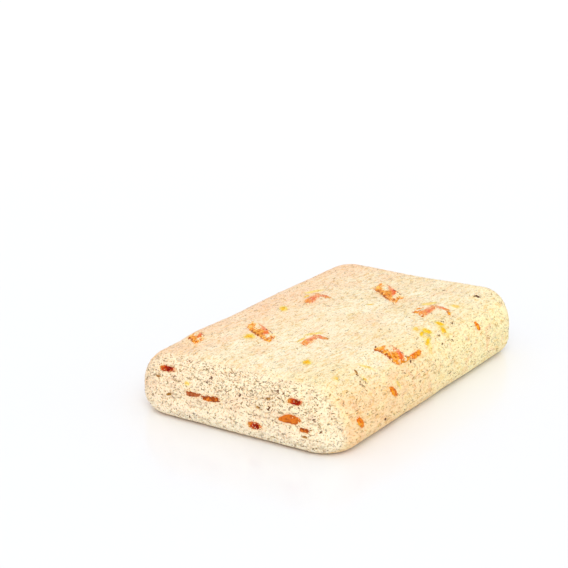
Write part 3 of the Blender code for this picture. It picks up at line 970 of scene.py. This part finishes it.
class Nodes:
    """Builds the nodes of a material or a world with short calls."""

    def __init__(self, owner):
        owner.use_nodes = True
        self.owner = owner
        self.tree = owner.node_tree
        places = self.new("TexCoord").outputs
        self.place = places["Object"]
        self.way = places["Generated"]

    def new(self, kind, inputs=None, **settings):
        """A node with these settings, and with what goes into its inputs."""
        node = self.tree.nodes.new("ShaderNode" + kind)
        for key, value in settings.items():
            setattr(node, key, value)
        for key, value in (inputs or {}).items():
            self.plug(node.inputs[key], value)
        return node

    def plug(self, socket, value):
        if isinstance(value, bpy.types.NodeSocket):
            self.tree.links.new(value, socket)
        else:
            socket.default_value = value

    def attribute(self, name):
        return self.new("Attribute", attribute_name=name).outputs["Fac"]

    def parts(self, vector):
        """Its x, y and z."""
        return self.new("SeparateXYZ", {"Vector": vector}).outputs

    def stretched(self, scale):
        return self.new("Mapping", {"Vector": self.place, "Scale": scale}).outputs["Vector"]

    def noise(self, scale, detail=3, distortion=0, place=None, roughness=0.5):
        inputs = {"Scale": scale, "Detail": detail, "Distortion": distortion, "Roughness": roughness}
        inputs["Vector"] = place or self.place
        return self.new("TexNoise", inputs).outputs["Fac"]

    def maths(self, operation, first, second=0, third=0):
        node = self.new("Math", operation=operation)
        for socket, value in zip(node.inputs, (first, second, third)):
            self.plug(socket, value)
        return node.outputs[0]

    def ramp(self, value, low, high, start=0, end=1):
        """value from low to high becomes start to end, smoothly, and stays there outside."""
        inputs = {"Value": value, "From Min": low, "From Max": high, "To Min": start, "To Max": end}
        return self.new("MapRange", inputs, interpolation_type="SMOOTHSTEP").outputs["Result"]

    def line(self, value, middle, width):
        """1 where value is middle, down to 0 where it is width or more away from it."""
        away = self.maths("ABSOLUTE", self.maths("SUBTRACT", value, middle))
        return self.ramp(away, 0, width, 1, 0)

    def oval(self, flat, middle, reach):
        """How far the place flat is out of the middle of an oval: 1 on its rim."""
        scale = (1 / reach[0], 1 / reach[1], 0)
        move = (-middle[0] / reach[0], -middle[1] / reach[1], 0)
        moved = self.new("Mapping", {"Vector": flat, "Scale": scale, "Location": move})
        length = self.new("VectorMath", operation="LENGTH")
        self.plug(length.inputs[0], moved.outputs["Vector"])
        return length.outputs["Value"]

    def times(self, *values):
        product = values[0]
        for value in values[1:]:
            product = self.maths("MULTIPLY", product, value)
        return product

    def mix(self, share, first, second, blend="MIX"):
        """Mixes two colours, each another node's or one of those above."""
        node = self.new("Mix", data_type="RGBA", blend_type=blend)
        inputs = [socket for socket in node.inputs if socket.enabled]
        for socket, value in zip(inputs, (share, first, second)):
            self.plug(socket, linear(*value) if isinstance(value, tuple) else value)
        return next(socket for socket in node.outputs if socket.enabled)

    def coat(self, colour, *layers):
        """Lays shades over a colour, each with its own share."""
        for share, shade in layers:
            colour = self.mix(share, colour, shade)
        return colour

    def bump(self, height, strength, distance):
        inputs = {"Height": height, "Strength": strength, "Distance": distance}
        return self.new("Bump", inputs).outputs["Normal"]

    def set(self, **inputs):
        """Finishes a material with what goes into its shader, _ standing for a space."""
        shader = self.tree.nodes["Principled BSDF"]
        for name, value in inputs.items():
            self.plug(shader.inputs[name.replace("_", " ")], value)
        return self.owner


def linear(red, green, blue):
    """A colour read as 0 to 255 on screen, as the shader takes it."""
    values = [value / 255 for value in (red, green, blue)]
    return (*[v / 12.92 if v < 0.04045 else ((v + 0.055) / 1.055) ** 2.4 for v in values], 1)


def halva_tone(n, cut, side):
    """Cream, with paler and peach patches; yellower or warmer on the pressed long sides, the warmth
    partly painted bounce light; and painted light low on the cut ends.
    """
    x, y, z = n.parts(n.place)
    wide = n.noise(60, 3, 0.6)
    patch = n.noise(210, 4, 0.8, n.stretched((0.4, 1, 1)))
    blotch = n.noise(150, 3, 1, n.stretched((1, 0.42, 1)))
    spots = n.noise(260, 3, 0.8)
    uneven = n.maths("MULTIPLY_ADD", n.noise(70, 2, 0.4), TONE_WANDER, -TONE_WANDER / 2)
    leftward = n.maths("ADD", n.maths("MULTIPLY_ADD", x, 0.05, y), uneven)
    warm = n.ramp(n.maths("ADD", x, uneven), *WARM_BOUNCE_FADE)
    return n.coat(
        n.mix(n.ramp(wide, 0.38, 0.64), CREAM, PALE),
        (n.ramp(patch, 0.5, 0.7, 0, 0.45), PEACH),
        (n.ramp(blotch, 0.53, 0.66, 0, 0.75), PALE),
        (n.ramp(leftward, *PEACH_FADE), PEACH),
        (n.ramp(leftward, *GOLD_FADE), TOP_GOLD),
        (n.times(cut, 0.7), CUT_CREAM),
        # the long sides' tone, warmer towards the near end; that warmth is partly painted bounce light
        (n.times(side, 0.9), n.mix(warm, PRESSED, PRESSED_WARM_BOUNCE)),
        (n.times(n.ramp(spots, 0.52, 0.64), cut, 0.4), PEACH),
        (n.times(n.ramp(spots, 0.54, 0.66), side, 0.5), SIDE_PINK),
        (n.times(n.ramp(spots, 0.36, 0.46, 1, 0), side, 0.5), SIDE_YELLOW),
        # painted light low on the cut ends, lifting the shade near the floor
        (n.times(n.ramp(z, *FOOT_LIGHT_FADE), cut), FOOT_PAINTED_LIGHT),
        (n.times(n.attribute("stain"), 0.65), STAIN),
    )


def halva_marks(n, cut):
    """Fine dark curls and specks of husk, most of them on the cut ends."""
    layers = n.stretched((1, 0.36, 1))
    along = n.stretched((0.35, 1, 1))
    height = n.parts(n.place)[2]
    band = n.maths("ADD", n.ramp(height, *MARKS_RISE), n.ramp(height, *MARKS_FALL))
    on_cut = n.times(
        n.line(n.noise(800, 2, 1.6, layers), 0.5, 0.085),
        n.ramp(n.maths("ADD", n.noise(1500, 2, 0.5), band), 0.545, 0.615),
        cut,
    )
    clear = n.ramp(n.oval(n.place, CLEAN_MIDDLE, CLEAN_REACH), 0.5, 1.3, -0.06, 0.035)
    elsewhere = n.times(
        n.line(n.noise(820, 3, 1.2, along), 0.5, 0.03),
        n.ramp(n.maths("ADD", n.noise(560, 2), clear), 0.5, 0.6),
        n.maths("MULTIPLY_ADD", cut, -0.7, 0.7),
    )
    return n.maths("MAXIMUM", on_cut, elsewhere)


def halva_material():
    n = Nodes(bpy.data.materials.new("halva"))
    cut = n.attribute("cut")
    side = n.attribute("side")
    colour = halva_tone(n, cut, side)
    fibre = n.noise(1100, 4, 0.6, n.stretched((0.3, 1, 1)), 0.65)
    low = n.times(n.ramp(fibre, 0.36, 0.52, 1, 0), n.maths("SUBTRACT", 1, cut))
    colour = n.mix(low, colour, FIBRE_SHADE, "MULTIPLY")
    grain = n.noise(2000, 2)
    colour = n.mix(n.ramp(grain, 0.34, 0.5, 1, 0), colour, GRAIN_SHADE, "MULTIPLY")
    marks = halva_marks(n, cut)
    colour = n.coat(
        colour,
        (n.times(marks, 0.85), HUSK_SHADE),
        # painted shade in the crevices, cracks and pits
        (n.ramp(n.attribute("deep"), 0.4, 1, 0, 0.3), CREVICE_SHADE),
        # painted shade in the seam round each piece of fruit
        (n.times(n.attribute("seam"), 0.45), SEAM_SHADE),
    )
    height = n.maths("ADD", grain, n.times(fibre, 0.6))
    height = n.maths("SUBTRACT", height, n.times(marks, 1.2))
    return n.set(
        Base_Color=colour,
        Roughness=0.72,
        Specular_IOR_Level=0.25,
        Normal=n.bump(height, 0.5, 0.12 * MM),
        Subsurface_Weight=0.12,
        Subsurface_Radius=(1, 0.6, 0.35),
        Subsurface_Scale=0.8 * MM,
    )


def finish_fruit(n, colour, gloss):
    """Gummy fruit, with crumbs of halva on its ragged rim and here and there."""
    ragged = n.maths("MULTIPLY_ADD", n.noise(1500, 3, 0.4), 1.1, n.attribute("rim"))
    crumbs = n.maths("MAXIMUM", n.ramp(ragged, 1.5, 1.56), n.ramp(n.noise(1700, 2, 0.4), 0.7, 0.73))
    return n.set(
        Base_Color=n.mix(n.times(crumbs, 0.9), colour, CRUMBS),
        Roughness=n.ramp(crumbs, 0, 1, gloss, 0.8),
        Specular_IOR_Level=0.08,
        Normal=n.bump(n.noise(1800, 3), 0.4, 0.1 * MM),
        Subsurface_Weight=0.2,
        Subsurface_Radius=(1, 0.35, 0.12),
        Subsurface_Scale=0.8 * MM,
    )


def patched_material(name, base, patches, edge_from):
    """Fruit with patches in set places, specks all over and a dark line along its near edge."""
    n = Nodes(bpy.data.materials.new(f"apricot_{name}"))
    across = n.attribute("across")
    flat = n.new("CombineXYZ", {"X": n.attribute("along"), "Y": across}).outputs[0]
    fine = n.noise(1300, 3, 0.6, n.stretched((0.6, 1, 1)))
    layers = [(n.ramp(fine, 0.53, 0.62, 0, 0.6), SPECKS), (n.ramp(fine, 0.34, 0.45, 0.8, 0), YELLOW)]
    for number, (u, v, reach_u, reach_v, shade) in enumerate(patches):
        inside = n.maths("SUBTRACT", 1, n.oval(flat, (u, v), (reach_u, reach_v)))
        patchy = n.maths("MULTIPLY_ADD", n.noise(1500 + 60 * number, 3, 0.4), 3.2, -1.6)
        layers.append((n.ramp(n.maths("ADD", inside, patchy), -0.05, 0.25), shade))
    speck = n.noise(1500, 2, 0.5)
    edge = n.maths("MULTIPLY_ADD", n.noise(1100, 2, 0.5), 0.5, n.maths("SUBTRACT", -0.25, across))
    layers += [
        (n.ramp(speck, 0.6, 0.66, 0, 0.6), SPECKS),
        (n.ramp(speck, 0.34, 0.4, 0.6, 0), BLOOM),
        (n.ramp(edge, edge_from, edge_from + 0.15), EDGE),
    ]
    return finish_fruit(n, n.coat(base, *layers), PATCHED_GLOSS)


def fruit_material(kind, colours, grain=FRUIT_GRAIN):
    """One tone low on the piece and another above it, in soft patches, a third in the dips, and
    stained halva on the ragged rim of the kinds that stain it."""
    n = Nodes(bpy.data.materials.new(f"apricot_{kind}"))
    low, high, dips = colours
    share = n.maths("MULTIPLY_ADD", n.attribute("across"), 0.15, n.noise(grain, 3, 0.6))
    colour = n.mix(n.ramp(share, 0.4, 0.58), low, high)
    colour = n.mix(n.ramp(n.attribute("dip"), 0.5, 0.95, 0, 0.75), colour, dips)
    if kind in STAINING_KINDS:
        fringe = n.maths("MULTIPLY_ADD", n.noise(1600, 2), 1.2, n.attribute("rim"))
        colour = n.mix(n.ramp(fringe, 1.15, 1.55, 0, 0.75), colour, STAIN)
    return finish_fruit(n, colour, FRUIT_GLOSS)


def husk_material():
    n = Nodes(bpy.data.materials.new("husk"))
    tone = n.maths("ADD", n.attribute("tone"), n.times(n.noise(1500, 1), 0.2))
    colour = n.mix(n.ramp(tone, 0.1, 0.7), HUSK_DARK, HUSK_BROWN)
    colour = n.mix(n.ramp(tone, 0.7, 1.15), colour, HUSK_PALE)
    return n.set(Base_Color=colour, Roughness=0.7, Specular_IOR_Level=0.1)


# ---- floor, light and camera


def make_floor():
    rim = [(x * FLOOR_REACH, y * FLOOR_REACH, 0) for x, y in ((-1, -1), (1, -1), (1, 1), (-1, 1))]
    floor = add_object("floor", mesh_of("floor", rim, [range(4)]))
    n = Nodes(bpy.data.materials.new("floor"))
    floor.data.materials.append(n.set(Base_Color=FLOOR_COLOUR, Roughness=FLOOR_ROUGHNESS))


def make_world():
    """Soft light from all round, brighter low down than overhead."""
    world = bpy.data.worlds.new("studio")
    n = Nodes(world)
    inputs = {"Value": n.parts(n.way)[2], "From Max": SKY_TURN, "To Min": SKY_LOW, "To Max": SKY_HIGH}
    background = n.tree.nodes["Background"]
    n.plug(background.inputs["Color"], (1, 1, 1, 1))
    n.plug(background.inputs["Strength"], n.new("MapRange", inputs).outputs["Result"])
    bpy.context.scene.world = world


def make_lamp():
    data = bpy.data.lights.new("lamp", "SUN")
    data.energy = LAMP_STRENGTH
    data.angle = LAMP_SOFTNESS
    lamp = add_object("lamp", data)
    lamp.rotation_euler = (-Vector(LAMP_SIDE)).to_track_quat("-Z", "Y").to_euler()


def make_camera():
    data = bpy.data.cameras.new("camera")
    data.lens = CAMERA_LENS
    data.sensor_width = CAMERA_SENSOR
    data.clip_start, data.clip_end = CAMERA_CLIP
    camera = add_object("camera", data)
    camera.location = CAMERA_PLACE
    camera.rotation_euler = CAMERA_LOOK.to_track_quat("-Z", "Y").to_euler()
    bpy.context.scene.camera = camera


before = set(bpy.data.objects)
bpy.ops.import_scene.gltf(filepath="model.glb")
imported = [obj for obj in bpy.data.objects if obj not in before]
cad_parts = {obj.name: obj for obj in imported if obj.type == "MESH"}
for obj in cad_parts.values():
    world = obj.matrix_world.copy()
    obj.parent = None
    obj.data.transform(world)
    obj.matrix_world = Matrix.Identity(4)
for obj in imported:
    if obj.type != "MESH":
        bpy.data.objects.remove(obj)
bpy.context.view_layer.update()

make_camera()
make_world()
make_lamp()
make_floor()
bpy.context.scene.view_settings.view_transform = "Standard"

halva_mesh = make_halva_mesh()
shape_halva(halva_mesh)
halva = new_piece("halva_crumb", halva_mesh, halva_material())
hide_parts("halva")

fruit = {kind: fruit_material(kind, *look) for kind, look in FRUIT_LOOKS.items()}
fruit |= {kind: patched_material(kind, *look) for kind, look in PATCHED_LOOKS.items()}
for node_name, cad_node in apricot_nodes():
    make_apricot(node_name, cad_node, fruit)
halva_tree = BVHTree.FromObject(halva, bpy.context.evaluated_depsgraph_get())
for bit_kind in sorted(BITS):
    make_bits(bit_kind, halva_tree, fruit[bit_kind])
make_husks(halva, husk_material())
